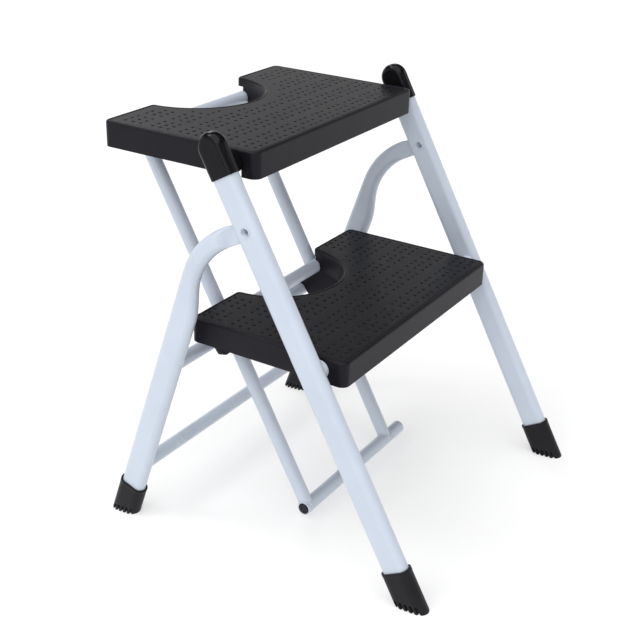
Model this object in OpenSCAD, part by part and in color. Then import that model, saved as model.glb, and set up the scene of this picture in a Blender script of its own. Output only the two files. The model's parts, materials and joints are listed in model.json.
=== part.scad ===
// Folding two-step stool: tubular steel frame with two moulded treads.
// X runs left to right, Y from front to rear, Z up. The origin is on the
// floor at the centre of the footprint. The stool stands open at rest.

/* [Stance] */
// Lean of the front legs from the vertical, in degrees
front_lean = 25.64; // [25:0.01:26.2]
// Lean of the rear legs from the vertical, in degrees
rear_lean = 22.3; // [21.8:0.1:22.8]
// Distance of the front feet ahead of the origin
front_foot_y = 190; // [188:1:192]
// Distance of the rear feet behind the origin
rear_foot_y = 190.5; // [189:0.5:193]
// Half distance between the front leg centre lines
front_leg_x = 180.5; // [180:0.5:182]
// Height of the rivets that join front and rear legs
rivet_z = 378; // [374:1:382]
// Height at which the front leg tubes end
front_leg_top_z = 455; // [452:1:460]

/* [Tube] */
// Broad side of the flat-oval leg tube
leg_w = 30; // [29:0.5:31]
// Thin side of the flat-oval leg tube
leg_t = 15; // [14.5:0.5:15.5]
// Broad side of the rear leg tube in its bend
bend_w = 21; // [20:0.5:23]
// Centre-line radius of the rear leg bend
bend_radius = 90; // [80:1:95]
// Turn of the rear leg bend, in degrees
bend_turn = 46; // [44:1:48]
// Diameter of the round tubes
bar_d = 16; // [15:0.5:16]
// Wall thickness of all tubes
tube_wall = 1.2; // [1:0.1:1.5]

/* [Steps] */
// Height of the front edge of the top step
top_step_z = 450; // [448:1:452]
// Height of the front edge of the lower step
lower_step_z = 249; // [247:1:251]
// Rise of both treads towards the rear, in degrees
step_pitch = 3.5; // [3:0.1:4]
// Width of the top tread
top_step_w = 319; // [312:1:321]
// Depth of the top tread
top_step_d = 196; // [193:1:198]
// Thickness of the top tread
top_step_h = 28; // [26:0.1:29]
// Width of the lower tread
lower_step_w = 329; // [326:1:332]
// Depth of the lower tread
lower_step_d = 193; // [190:1:194]
// Thickness of the lower tread
lower_step_h = 27.6; // [27:0.1:28]
// How far the top tread's front edge is ahead of its pivot tube
top_overhang = 27.2; // [24:0.1:28]
// How far the lower tread's front edge is ahead of its pivot tube
lower_overhang = 30.2; // [28:0.1:31]
// Radius of the hand notch in the rear edge
notch_r = 78; // [74:1:80]
// Radius of the front tread corners
front_corner_r = 9; // [6:1:14]
// Radius of the rear tread corners
rear_corner_r = 8; // [6:1:12]

/* [Linkage] */
// Height of the top tread's pivot tube
top_pivot_z = 438; // [437:1:439]
// Height of the lower tread's pivot tube
lower_pivot_z = 238; // [237:1:239]
// Distance from front to rear pivot, the same in both treads
pivot_span = 160; // [159:0.5:161]
// Half distance between the link side tubes
link_x = 92; // [90:1:94]
// Height of the link frame's bottom bar
bottom_bar_z = 15; // [14:1:20]
// Left end of the bottom bar
bottom_bar_left = -100; // [-104:1:-100]
// Right end of the bottom bar
bottom_bar_right = 126; // [110:1:130]
// Height of the upper bar between the rear legs
upper_rear_bar_z = 204; // [203:1:206]
// Height of the lower bar between the rear legs
lower_rear_bar_z = 64; // [60:1:80]

/* [Feet and caps] */
// Wall thickness of the rubber feet
foot_wall = 2.5; // [2:0.1:3]
// Height of the rubber feet along the leg
foot_h = 44; // [40:1:46]
// Wall thickness of the leg caps
cap_wall = 0.9; // [0.8:0.1:1.2]
// Length of the straight part of the leg caps
cap_h = 30; // [28:1:34]

/* [Hidden] */
$fn = 48;

WHITE = [0.84, 0.88, 0.93];
BLACK = [0.13, 0.13, 0.14];
RUBBER = [0.10, 0.10, 0.11];
STEEL = [0.62, 0.64, 0.67];
EPS = 0.01;

bar_r = bar_d / 2;
rear_leg_x = front_leg_x + 3.25;

// Points in the side plane are written [y, z].
function on_front_leg(z) = [z * tan(front_lean) - front_foot_y, z];
function on_rear_leg(z) = [rear_foot_y - z * tan(rear_lean), z];
function dot2(a, b) = a[0] * b[0] + a[1] * b[1];

front_up = [sin(front_lean), cos(front_lean)];
front_back = [cos(front_lean), -sin(front_lean)];
rear_up = [-sin(rear_lean), cos(rear_lean)];
rear_back = [cos(rear_lean), sin(rear_lean)];

top_pivot = on_front_leg(top_pivot_z);
lower_pivot = on_front_leg(lower_pivot_z);
top_link_pivot = top_pivot + [pivot_span, 0];
lower_link_pivot = lower_pivot + [pivot_span, 0];
rivet = on_front_leg(rivet_z);
upper_bar = on_rear_leg(upper_rear_bar_z);
lower_bar = on_rear_leg(lower_rear_bar_z);

// The tubes stop this far above the floor, measured along the leg.
tube_start = 15;
front_leg_end = front_leg_top_z / cos(front_lean);

// Rear leg bend, in the rear leg's own plane: [across, along].
narrow_shift = (leg_w - bend_w) / 2;
rivet_across = dot2(rivet - [rear_foot_y, 0], rear_back);
rivet_along = dot2(rivet - [rear_foot_y, 0], rear_up);
tongue_len = (narrow_shift - rivet_across - bend_radius * (1 - cos(bend_turn))) / sin(bend_turn);
bend_start = rivet_along - bend_radius * sin(bend_turn) - tongue_len * cos(bend_turn);
// The tube is pinched flat from here in the bend to a skewed crease, which
// lies along the front leg's rear edge when the stool is folded. The flat
// tongue beyond it sits in a slot of the front leg.
pinch_turn = 12;
pinch_steps = 6;
crease_back = 22.3;
crease_skew = 8.3;
taper_len = 50;
bend_steps = 8;
arc_steps = 12;
ring_n = 2 * arc_steps + 2;

// Rivet joint
rivet_r = 3.95;
rivet_fit = 0.05;
rivet_bore_r = 2.6;
tongue_w = 18.5;
tongue_t = 2.8;
tongue_x = front_leg_x - rear_leg_x;
slot_play = 0.4;
slot_above = 11.5;
slot_below = 30;
leg_inner_x = front_leg_x - leg_t / 2;
leg_outer_x = front_leg_x + leg_t / 2;
rear_outer_x = rear_leg_x + leg_t / 2;
rear_inner_x = rear_leg_x - leg_t / 2;

// Tread walls
skin_t = 3;
skirt_t = 2.6;
rib_t = 2;
rim_drop = 3;
rim_inset = 1.2;
mouth_r = 6;
running = 0.06;
open_play = 0.35;
saddle_w = 28;
strap_w = 12;
strap_t = 2.4;
strap_foot = 9;
screw_r = 1.75;
screw_head_r = 3.6;
screw_len = 9;
saddle_x = 134;
front_saddle_x = 60;
// Spans of the two hook plates, on either side of the link tube
hook_spans = [[76, 83], [103.5, 115.5]];
hook_t = 5;

// Link frame: the side tubes lie this far behind the link bars.
link_offset = 15.4;
link_bar_half = 150;
link_overrun = 8;

front_origin = [0, -front_foot_y, 0];
rear_origin = [0, rear_foot_y, 0];

// ---------- profiles ----------

module flat_oval(w, t) {
    square([t, w - t], center = true);
    for (side = [-1, 1])
        translate([0, side * (w - t) / 2]) circle(d = t);
}

module oval_tube(w, t, from, to) {
    difference() {
        translate([0, 0, from]) linear_extrude(to - from) flat_oval(w, t);
        translate([0, 0, from - 1]) linear_extrude(to - from + 2)
            flat_oval(w - 2 * tube_wall, t - 2 * tube_wall);
    }
}

// A rod along X, centred on a side-plane point
module rod(p, r, from, to) {
    translate([from, p[0], p[1]]) rotate([0, 90, 0]) cylinder(r = r, h = to - from);
}

module bar(p, from, to) {
    difference() {
        rod(p, bar_r, from, to);
        rod(p, bar_r - tube_wall, from - 1, to + 1);
    }
}

// Extrudes a side-plane drawing along X
module side_plate(from, to) {
    translate([from, 0, 0]) rotate([90, 0, 90]) linear_extrude(to - from) children();
}

module on_front(side) {
    translate([side * front_leg_x, 0, 0] + front_origin) rotate([-front_lean, 0, 0]) children();
}

module on_rear(side) {
    translate([side * rear_leg_x, 0, 0] + rear_origin) rotate([rear_lean, 0, 0]) children();
}

// ---------- front frame ----------

// Slot in the rear edge, in the leg's own frame
module tongue_slot() {
    wide = tongue_t + 2 * slot_play;
    along = rivet_z / cos(front_lean) - slot_below;
    translate([-wide / 2, 4, along]) cube([wide, leg_w / 2, slot_below + slot_above]);
}

module front_leg(side) {
    color(WHITE) difference() {
        on_front(side) difference() {
            oval_tube(leg_w, leg_t, tube_start, front_leg_end);
            tongue_slot();
        }
        rod(rivet, rivet_r, side * front_leg_x - leg_t, side * front_leg_x + leg_t);
    }
}

module foot(top) {
    intersection() {
        difference() {
            translate([0, 0, -30]) linear_extrude(top + 30)
                flat_oval(leg_w + 2 * foot_wall, leg_t + 2 * foot_wall);
            translate([0, 0, tube_start]) linear_extrude(top) flat_oval(leg_w, leg_t);
        }
        children();
    }
}

// Everything above the floor, seen from a leg's own frame
module above_floor(lean) {
    rotate([-lean, 0, 0]) translate([-60, -90, 0]) cube([120, 180, 120]);
}

module front_foot(side) {
    color(RUBBER) on_front(side) foot(foot_h) above_floor(-front_lean);
}

module rear_foot(side) {
    color(RUBBER) on_rear(side) foot(foot_h) above_floor(rear_lean);
}

// Half section of a cap, from its middle to its narrow face
module cap_half(w, t, corner) {
    translate([0, -t / 2]) square([w / 2 - corner, t]);
    translate([0, corner - t / 2]) square([w / 2, t - 2 * corner]);
    for (side = [-1, 1])
        translate([w / 2 - corner, side * (t / 2 - corner)]) circle(r = corner);
}

module cap_body() {
    w = leg_w + 2 * cap_wall;
    t = leg_t + 2 * cap_wall;
    corner = 6.6;
    crown_z = front_leg_end + 1.5;
    translate([0, 0, crown_z - cap_h]) linear_extrude(cap_h) rotate(90) union() {
        cap_half(w, t, corner);
        mirror([1, 0]) cap_half(w, t, corner);
    }
    // the crown, turned about the cap's middle
    translate([0, 0, crown_z]) rotate([0, 90, 0]) rotate([0, 0, 90])
        rotate_extrude(angle = 180) cap_half(w, t, corner);
}

// Left cap; its inner wall is slotted for the pivot tube
module leg_cap() {
    slot_r = bar_r + 0.3;
    slot_depth = 5;
    color(BLACK) difference() {
        on_front(-1) difference() {
            cap_body();
            translate([0, 0, front_leg_end - 60]) linear_extrude(60) flat_oval(leg_w, leg_t);
        }
        rod(top_pivot, slot_r, -leg_inner_x, slot_depth - leg_inner_x);
        translate([-leg_inner_x, top_pivot[0], top_pivot[1]]) rotate([-front_lean, 0, 0])
            translate([0, 0.4 - slot_r, -30]) cube([slot_depth, 2 * slot_r - 0.8, 30]);
    }
}

module pivot_tube(p) {
    color(WHITE) bar(p, -leg_inner_x, leg_inner_x);
}

module spacers(p, from, to) {
    for (side = [0, 1]) mirror([side, 0, 0]) difference() {
        rod(p, 10.5, from, to);
        rod(p, bar_r, from - 1, to + 1);
    }
}

// Tubular rivet with both ends flared
module rivet_solid() {
    head_t = 1;
    head_r = 5.6;
    flare_r = 4.2;
    flare_h = 3.4;
    difference() {
        union() {
            rod(rivet, rivet_r, leg_inner_x - EPS, leg_outer_x + EPS);
            rod(rivet, head_r, leg_outer_x, leg_outer_x + head_t);
            rod(rivet, head_r, leg_inner_x - head_t, leg_inner_x);
        }
        rod(rivet, rivet_bore_r, leg_inner_x - 5, leg_outer_x + 5);
        translate([leg_outer_x + head_t - flare_h, rivet[0], rivet[1]]) rotate([0, 90, 0])
            cylinder(r1 = rivet_bore_r, r2 = flare_r, h = flare_h + EPS);
        translate([leg_inner_x - head_t + flare_h, rivet[0], rivet[1]]) rotate([0, -90, 0])
            cylinder(r1 = rivet_bore_r, r2 = flare_r, h = flare_h + EPS);
    }
}

// ---------- rear frame ----------

function mix(a, b, u) = a + (b - a) * u;
function ease(u) = u * u * (3 - 2 * u);

// One of the points round a flat oval
function oval_point(i, w, t) =
    let (first = i <= arc_steps, a = (first ? i : i - 1) * 180 / arc_steps)
    [t / 2 * cos(a), t / 2 * sin(a) + (first ? 1 : -1) * (w - t) / 2];

// A station along the leg is [x, across, along, turn, w, t].
function ring(s, inset) = [for (i = [0 : ring_n - 1])
    let (p = oval_point(i, s[4] - 2 * inset, s[5] - 2 * inset))
    [s[0] + p[0], s[1] + p[1] * cos(s[3]), s[2] + p[1] * sin(s[3])]];

function rings(stations, inset) = [for (s = stations) each ring(s, inset)];

// Points in the leg's plane, in its bend and on its tongue
function bend_point(a, r) = [narrow_shift - bend_radius + r * cos(a), bend_start + r * sin(a)];
function tongue_point(back, off) =
    [rivet_across + back * sin(bend_turn) + off * cos(bend_turn),
     rivet_along - back * cos(bend_turn) + off * sin(bend_turn)];

// Station between two edge points
function station(x, upper, lower, t) = let (d = upper - lower, m = (upper + lower) / 2)
    [x, m[0], m[1], atan2(d[1], d[0]), norm(d), t];

// A share u of the way along one edge of the pinched part
function pinch_edge(side, u) =
    let (r = bend_radius + side * bend_w / 2,
         arc = r * pinch_turn * PI / 180,
         straight = tongue_len - crease_back + side * crease_skew,
         s = u * (arc + straight))
    s < arc ? bend_point(bend_turn - pinch_turn + s / r * 180 / PI, r)
            : tongue_point(tongue_len - (s - arc), side * mix(bend_w, tongue_w, (s - arc) / straight) / 2);

taper_stations = [for (u = [0 : 0.25 : 0.75]) let (e = ease(u))
    [0, mix(0, narrow_shift, e), bend_start - taper_len * (1 - u), 0, mix(leg_w, bend_w, e), leg_t]];
bend_stations = [for (i = [0 : bend_steps]) let (a = (bend_turn - pinch_turn) * i / bend_steps)
    station(0, bend_point(a, bend_radius + bend_w / 2), bend_point(a, bend_radius - bend_w / 2), leg_t)];
pinch_stations = [for (i = [1 : pinch_steps]) let (u = i / pinch_steps, e = ease(u))
    station(mix(0, tongue_x, e), pinch_edge(1, u), pinch_edge(-1, u), mix(leg_t, tongue_t, e))];
tongue_end = [for (a = [0 : 20 : 80]) let (back = -tongue_w / 2 * sin(a), off = tongue_w / 2 * cos(a))
    station(tongue_x, tongue_point(back, off), tongue_point(back, -off), tongue_t)];
tube_stations = concat([[0, 0, tube_start, 0, leg_w, leg_t]], taper_stations, bend_stations);
leg_stations = concat(tube_stations, pinch_stations, tongue_end);

// Side faces of a loft, from ring number 0 at point number base
function loft_sides(count, base) = [for (k = [0 : count - 2], i = [0 : ring_n - 1])
    let (j = (i + 1) % ring_n, a = base + k * ring_n, b = a + ring_n)
    each [[a + i, b + i, b + j], [a + i, b + j, a + j]]];

function flipped(faces) = [for (f = faces) [f[0], f[2], f[1]]];

// The tube, hollow up to its pinch, and the tongue in one skin
module leg_loft() {
    outer = len(leg_stations) * ring_n;
    tip = outer - ring_n;
    inner_end = outer + (len(tube_stations) - 1) * ring_n;
    mouth = [for (i = [0 : ring_n - 1]) let (j = (i + 1) % ring_n)
        each [[i, j, outer + j], [i, outer + j, outer + i]]];
    polyhedron(points = concat(rings(leg_stations, 0), rings(tube_stations, tube_wall)),
               faces = concat(loft_sides(len(leg_stations), 0),
                              [[for (i = [ring_n - 1 : -1 : 0]) tip + i]],
                              mouth,
                              flipped(loft_sides(len(tube_stations), outer)),
                              [[for (i = [0 : ring_n - 1]) inner_end + i]]));
}

module rear_leg_right() {
    color(WHITE) difference() {
        on_rear(1) leg_loft();
        rod(rivet, rivet_r + rivet_fit, rear_inner_x - 5, rear_outer_x + 5);
    }
}

module rear_bar(p) {
    color(WHITE) bar(p, -rear_inner_x, rear_inner_x);
}

// ---------- treads ----------

// Outline of a tread, inset all round; the front edge is at y = 0
module outline(w, d, inset) {
    fr = front_corner_r - inset;
    rr = rear_corner_r - inset;
    nr = notch_r + inset;
    mr = mouth_r - inset;
    mouth_x = sqrt(pow(nr + mr, 2) - mr * mr);
    half = w / 2 - inset;
    rear = d - inset;
    difference() {
        union() {
            translate([-half, inset + fr]) square([2 * half, rear - rr - inset - fr]);
            translate([-half + fr, inset]) square([2 * (half - fr), fr + 1]);
            translate([-half + rr, rear - rr - 1]) square([2 * (half - rr), rr + 1]);
            for (side = [-1, 1]) {
                translate([side * (half - fr), inset + fr]) circle(r = fr);
                translate([side * (half - rr), rear - rr]) circle(r = rr);
            }
        }
        translate([0, d]) circle(r = nr, $fn = 96);
        for (side = [-1, 1]) difference() {
            translate([side * (mouth_x + nr - 3) / 2, rear - mr / 2 + 1])
                square([mouth_x - nr + 3, mr + 2], center = true);
            translate([side * mouth_x, rear - mr]) circle(r = mr);
        }
    }
}

// Side-plane point in the tread's own frame
function in_tread(p, front) = let (v = p - front)
    [v[0] * cos(step_pitch) + v[1] * sin(step_pitch),
     v[1] * cos(step_pitch) - v[0] * sin(step_pitch)];

module tread_shell(w, d, h) {
    difference() {
        union() {
            translate([0, 0, -h]) linear_extrude(h - rim_drop) outline(w, d, 0);
            translate([0, 0, -rim_drop - EPS]) linear_extrude(rim_drop + EPS) outline(w, d, rim_inset);
        }
        translate([0, 0, -h - 1]) linear_extrude(h - skin_t + 1) outline(w, d, skirt_t);
    }
}

// Ribs inside the skirt; the ones beside the notch run front to rear
module ribs(w, d, h) {
    depth = h * 0.5;
    intersection() {
        translate([0, 0, -skin_t - depth]) linear_extrude(depth + 1) union() {
            for (x = [-130, -104, -32, 0, 32, 104, 130])
                translate([x - rib_t / 2, 0]) square([rib_t, d]);
            for (y = [62, 92])
                translate([-w / 2, y]) square([w, rib_t]);
        }
        translate([0, 0, -h]) linear_extrude(h - 1) outline(w, d, skirt_t / 2);
    }
}

// Block from the skin down to the pivot's height, around a bar
module saddle(p, x, w, ahead, behind) {
    translate([x - w / 2, p[0] - ahead, p[1]]) cube([w, ahead + behind, -p[1] - skin_t / 2]);
}

module both_sides() {
    children();
    mirror([1, 0, 0]) children();
}

// Half-round seat over a bar, open downwards
module bar_room(p, r, from, to) {
    rod(p, r, from, to);
    translate([from, p[0] - r, p[1] - 40]) cube([to - from, 2 * r, 40]);
}

// Clip that wraps a link bar from the front foot, under and up the rear
module rear_clip(p, r) {
    sweep = 215;
    both_sides() difference() {
        union() {
            translate([saddle_x - strap_w / 2, p[0], p[1]]) rotate([90, 0, 90]) rotate([0, 0, 180])
                rotate_extrude(angle = sweep) translate([r, 0]) square([strap_t, strap_w]);
            translate([saddle_x - strap_w / 2, p[0] - r - strap_t - strap_foot, p[1] - strap_t])
                cube([strap_w, strap_foot + strap_t + 0.8, strap_t]);
        }
        rod(p, r, 0, link_bar_half + 20);
        screw_at(rear_screw(p, r), 0);
    }
}

// Strap that closes a front saddle from below
module front_strap(p, r) {
    both_sides() difference() {
        union() {
            translate([front_saddle_x - strap_w / 2, p[0], p[1]]) rotate([90, 0, 90]) rotate([0, 0, 180])
                rotate_extrude(angle = 180) translate([r, 0]) square([strap_t, strap_w]);
            for (side = [-1, 1])
                translate([front_saddle_x - strap_w / 2,
                           p[0] + side * (r + strap_foot / 2 + strap_t / 2) - strap_foot / 2 - strap_t / 2,
                           p[1] - strap_t])
                    cube([strap_w, strap_foot + strap_t, strap_t]);
        }
        rod(p, r, 0, 200);
        for (side = [-1, 1]) screw_at(front_screw(p, r, side), 0);
    }
}

function rear_screw(p, r) = [saddle_x, p[0] - r - strap_t - strap_foot / 2, p[1]];
function front_screw(p, r, side) =
    [front_saddle_x, p[0] + side * (r + strap_t + strap_foot / 2), p[1]];

// Screw pointing up; head = 0 gives only the shank
module screw_at(p, head) {
    translate(p - [0, 0, strap_t + 1 - head]) cylinder(r = screw_r, h = screw_len + strap_t + 1 - head);
    if (head > 0) {
        translate(p - [0, 0, strap_t + 1.6]) cylinder(r1 = screw_head_r - 1, r2 = screw_head_r, h = 1.6);
    }
}

module tread_screws(front_p, rear_p, front_r, rear_r) {
    color(STEEL) both_sides() {
        for (side = [-1, 1]) screw_at(front_screw(front_p, front_r, side), 1);
        screw_at(rear_screw(rear_p, rear_r), 1);
    }
}

// The moulding without its hooks
module tread_body(w, d, h, front_p, rear_p, front_r, rear_r) {
    // The saddles reach this far from their bar.
    reach = 21;
    rear_reach = d - rear_p[0];
    // The link's side tube and its weld have this much room.
    link_room_x = notch_r - 12;
    link_room_w = 36;
    link_room_top = -10.5;
    seat_end = link_bar_half + 4;
    difference() {
        union() {
            tread_shell(w, d, h);
            ribs(w, d, h);
            both_sides() {
                saddle(front_p, front_saddle_x, saddle_w, reach, reach);
                saddle(rear_p, saddle_x, saddle_w, reach, rear_reach - skirt_t / 2);
            }
        }
        bar_room(front_p, front_r, -w / 2 - 1, w / 2 + 1);
        both_sides() {
            // seat of the link bar, and the open rear under it
            bar_room(rear_p, rear_r, link_room_x, seat_end);
            translate([link_room_x, rear_p[0], -h - 1])
                cube([seat_end - link_room_x, rear_reach + 1, h + 1 + rear_p[1]]);
            translate([link_room_x, rear_p[0], -h - 1])
                cube([link_room_w, rear_reach + 1, h + 1 + link_room_top]);
            // groove for the rear clip
            rod(rear_p, rear_r + strap_t + 0.05, saddle_x - strap_w / 2 - 0.2, saddle_x + strap_w / 2 + 0.2);
            screw_at(rear_screw(rear_p, rear_r), 0);
            for (side = [-1, 1]) screw_at(front_screw(front_p, front_r, side), 0);
        }
    }
}

top_front = [top_pivot[0] - top_overhang, top_step_z];
lower_front = [lower_pivot[0] - lower_overhang, lower_step_z];
top_p = in_tread(top_pivot, top_front);
top_q = in_tread(top_link_pivot, top_front);
lower_p = in_tread(lower_pivot, lower_front);
lower_q = in_tread(lower_link_pivot, lower_front);
fit_r = bar_r + running;
loose_r = bar_r + open_play;

module at_tread(front) {
    translate([0, front[0], front[1]]) rotate([step_pitch, 0, 0]) children();
}

module top_tread() {
    color(BLACK) at_tread(top_front)
        tread_body(top_step_w, top_step_d, top_step_h, top_p, top_q, fit_r, fit_r);
}

// Hook that sits over the upper rear bar. Its mouth opens the way the bar
// leaves when the stool folds.
module hook_drawing() {
    leave = 237;
    inner = bar_r + 0.6;
    mouth = bar_r + 0.35;
    outer = inner + hook_t;
    difference() {
        union() {
            translate(upper_bar) circle(r = outer);
            polygon([lower_link_pivot + [-44, 17], lower_link_pivot + [-44, -8],
                     upper_bar + [-26.5, -6.7], upper_bar + [-16, -8.2],
                     upper_bar + [0, 8], upper_bar + [7, 11], lower_link_pivot + [4, -4],
                     lower_link_pivot + [-4, 17]]);
        }
        translate(upper_bar) circle(r = inner);
        translate(upper_bar) rotate(leave) translate([0, -mouth]) square([60, 2 * mouth]);
        translate(upper_bar + [-2, -67.5]) square([60, 60]);
        translate(lower_link_pivot) circle(r = loose_r + 0.3);
        translate(lower_link_pivot + [-bar_r, 0]) square([60, 60]);
    }
}

module hooks() {
    both_sides() for (span = hook_spans) side_plate(span[0], span[1]) hook_drawing();
}

module lower_tread() {
    color(BLACK) union() {
        at_tread(lower_front)
            tread_body(lower_step_w, lower_step_d, lower_step_h, lower_p, lower_q, fit_r, loose_r);
        hooks();
    }
}

// ---------- link frame ----------

link_top = top_link_pivot + link_offset * front_back + link_overrun * front_up;
link_len = (link_top[1] - bottom_bar_z) / front_up[1];
link_foot = link_top - link_len * front_up;

module link_tube(side) {
    color(WHITE) difference() {
        translate([side * link_x, link_foot[0], link_foot[1]]) rotate([-front_lean, 0, 0]) difference() {
            cylinder(r = bar_r, h = link_len);
            translate([0, 0, -1]) cylinder(r = bar_r - tube_wall, h = link_len + 2);
        }
        for (p = [top_link_pivot, lower_link_pivot, link_foot])
            rod(p, bar_r, side * link_x - 20, side * link_x + 20);
    }
}

module link_bar(p) {
    color(WHITE) bar(p, -link_bar_half, link_bar_half);
}

module link_bottom_bar() {
    color(WHITE) bar(link_foot, bottom_bar_left, bottom_bar_right);
}

// Plug that stands a little proud of its tube; Z points out of the tube
module plug() {
    cylinder(r = bar_r - tube_wall - 0.4, h = 0.8);
    translate([0, 0, -10]) cylinder(r = bar_r - tube_wall, h = 10);
}

module bottom_bar_plugs() {
    color(BLACK) {
        translate([bottom_bar_left, link_foot[0], link_foot[1]]) rotate([0, -90, 0]) plug();
        translate([bottom_bar_right, link_foot[0], link_foot[1]]) rotate([0, 90, 0]) plug();
    }
}

module link_tube_plugs() {
    color(BLACK) for (side = [-1, 1])
        translate([side * link_x, link_top[0], link_top[1]]) rotate([-front_lean, 0, 0]) plug();
}

// ---------- nodes ----------

front_leg(-1);  // front_leg_left
front_leg(1);  // front_leg_right
pivot_tube(top_pivot);  // top_pivot_tube
pivot_tube(lower_pivot);  // lower_pivot_tube
color(BLACK) spacers(top_pivot, top_step_w / 2 + 0.8, leg_inner_x - cap_wall - 0.2);  // top_spacers
color(WHITE) spacers(lower_pivot, lower_step_w / 2 + 0.8, leg_inner_x);  // lower_spacers
leg_cap();  // leg_cap_left
mirror([1, 0, 0]) leg_cap();  // leg_cap_right
front_foot(-1);  // front_foot_left
front_foot(1);  // front_foot_right
color(WHITE) mirror([1, 0, 0]) rivet_solid();  // rivet_left
color(WHITE) rivet_solid();  // rivet_right
mirror([1, 0, 0]) rear_leg_right();  // rear_leg_left
rear_leg_right();
rear_bar(upper_bar);  // upper_rear_bar
rear_bar(lower_bar);  // lower_rear_bar
rear_foot(-1);  // rear_foot_left
rear_foot(1);  // rear_foot_right
top_tread();
color(BLACK) at_tread(top_front) front_strap(top_p, fit_r);  // top_front_straps
color(BLACK) at_tread(top_front) rear_clip(top_q, fit_r);  // top_rear_clips
at_tread(top_front) tread_screws(top_p, top_q, fit_r, fit_r);  // top_tread_screws
lower_tread();
color(BLACK) at_tread(lower_front) front_strap(lower_p, fit_r);  // lower_front_straps
color(BLACK) at_tread(lower_front) rear_clip(lower_q, loose_r);  // lower_rear_clips
at_tread(lower_front) tread_screws(lower_p, lower_q, fit_r, loose_r);  // lower_tread_screws
link_tube(-1);  // link_tube_left
link_tube(1);  // link_tube_right
link_bar(top_link_pivot);  // link_top_bar
link_bar(lower_link_pivot);  // link_middle_bar
link_bottom_bar();
bottom_bar_plugs();
link_tube_plugs();
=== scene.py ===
import json
import math

import bmesh
import bpy
from mathutils import Matrix, Vector
from mathutils.geometry import delaunay_2d_cdt


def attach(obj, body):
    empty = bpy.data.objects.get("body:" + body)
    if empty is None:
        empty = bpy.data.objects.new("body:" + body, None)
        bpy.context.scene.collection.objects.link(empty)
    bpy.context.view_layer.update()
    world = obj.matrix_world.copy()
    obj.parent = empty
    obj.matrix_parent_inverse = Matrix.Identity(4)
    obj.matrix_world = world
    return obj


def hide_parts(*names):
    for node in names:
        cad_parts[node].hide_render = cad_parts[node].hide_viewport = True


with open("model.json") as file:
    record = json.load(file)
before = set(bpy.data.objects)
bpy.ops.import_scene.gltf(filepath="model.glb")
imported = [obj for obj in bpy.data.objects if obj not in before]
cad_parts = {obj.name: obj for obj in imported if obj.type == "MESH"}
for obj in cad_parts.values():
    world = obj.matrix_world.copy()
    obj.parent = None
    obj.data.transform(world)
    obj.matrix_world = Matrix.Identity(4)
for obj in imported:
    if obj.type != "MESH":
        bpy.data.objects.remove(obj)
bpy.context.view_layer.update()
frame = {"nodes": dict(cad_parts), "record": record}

NODES = frame["nodes"]

# ---------- sizes from the CAD source, in millimetres and radians ----------
# A side-plane point is (y, z): towards the back and up.

FRONT_LEAN = math.radians(25.64)
REAR_LEAN = math.radians(22.3)
STEP_PITCH = math.radians(3.5)
FRONT_FOOT_Y, REAR_FOOT_Y = -190.0, 190.5
FRONT_LEG_X, REAR_LEG_X = 180.5, 183.75
FRONT_LEG_TOP_Z = 455.0
LEG_W, LEG_T = 30.0, 15.0
TUBE_START = 15.0
BAR_R = 8.0
TOP_PIVOT_Z, LOWER_PIVOT_Z, RIVET_Z = 438.0, 238.0, 378.0
UPPER_BAR_Z, LOWER_BAR_Z, BOTTOM_BAR_Z = 204.0, 64.0, 15.0

# the rear legs' bent, narrowed and pinched upper end
BEND_W, BEND_R = 21.0, 90.0
BEND_TURN, PINCH_TURN = math.radians(46), math.radians(12)
TAPER_LEN = 50.0
TONGUE_W, TONGUE_T = 18.5, 2.8
CREASE_BACK, CREASE_SKEW = 22.3, 8.3
RIVET_R = 3.95

FOOT_WALL, FOOT_H = 2.5, 44.0
CAP_WALL, CAP_H = 0.9, 30.0
LINK_X, LINK_OFFSET, LINK_OVERRUN = 92.0, 15.4, 8.0
PIVOT_SPAN = 160.0

# treads: width, depth, height of the front top edge, overhang ahead of the pivot tube
TOP_W, TOP_D, TOP_Z, TOP_OVERHANG = 319.0, 196.0, 450.0, 27.2
LOWER_W, LOWER_D, LOWER_Z, LOWER_OVERHANG = 329.0, 193.0, 249.0, 30.2
NOTCH_R, MOUTH_R = 78.0, 6.0
FRONT_CORNER_R, REAR_CORNER_R = 9.0, 8.0
SKIRT_TOP = -3.0


def on_front_leg(z):
    return Vector((z * math.tan(FRONT_LEAN) + FRONT_FOOT_Y, z))


def on_rear_leg(z):
    return Vector((REAR_FOOT_Y - z * math.tan(REAR_LEAN), z))


FRONT_LEG_END = FRONT_LEG_TOP_Z / math.cos(FRONT_LEAN)
TOP_PIVOT, LOWER_PIVOT = on_front_leg(TOP_PIVOT_Z), on_front_leg(LOWER_PIVOT_Z)
TOP_LINK = TOP_PIVOT + Vector((PIVOT_SPAN, 0))
LOWER_LINK = LOWER_PIVOT + Vector((PIVOT_SPAN, 0))
RIVET = on_front_leg(RIVET_Z)
UPPER_BAR, LOWER_BAR = on_rear_leg(UPPER_BAR_Z), on_rear_leg(LOWER_BAR_Z)
FRONT_UP = Vector((math.sin(FRONT_LEAN), math.cos(FRONT_LEAN)))
FRONT_BACK = Vector((math.cos(FRONT_LEAN), -math.sin(FRONT_LEAN)))
LINK_END = TOP_LINK + LINK_OFFSET * FRONT_BACK + LINK_OVERRUN * FRONT_UP
LINK_FOOT = LINK_END - FRONT_UP * ((LINK_END.y - BOTTOM_BAR_Z) / FRONT_UP.y)
OUTER_X, FLANGE_X = FRONT_LEG_X + LEG_T / 2, FRONT_LEG_X - LEG_T / 2

MM = Matrix.Scale(0.001, 4)
MIRROR = Matrix.Scale(-1, 4, (1, 0, 0))


def leg_frame(x, foot_y, lean):
    """From a leg's own frame (x, across, along) in millimetres to the row frame."""
    return MM @ Matrix.Translation((x, foot_y, 0)) @ Matrix.Rotation(lean, 4, "X")


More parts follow.
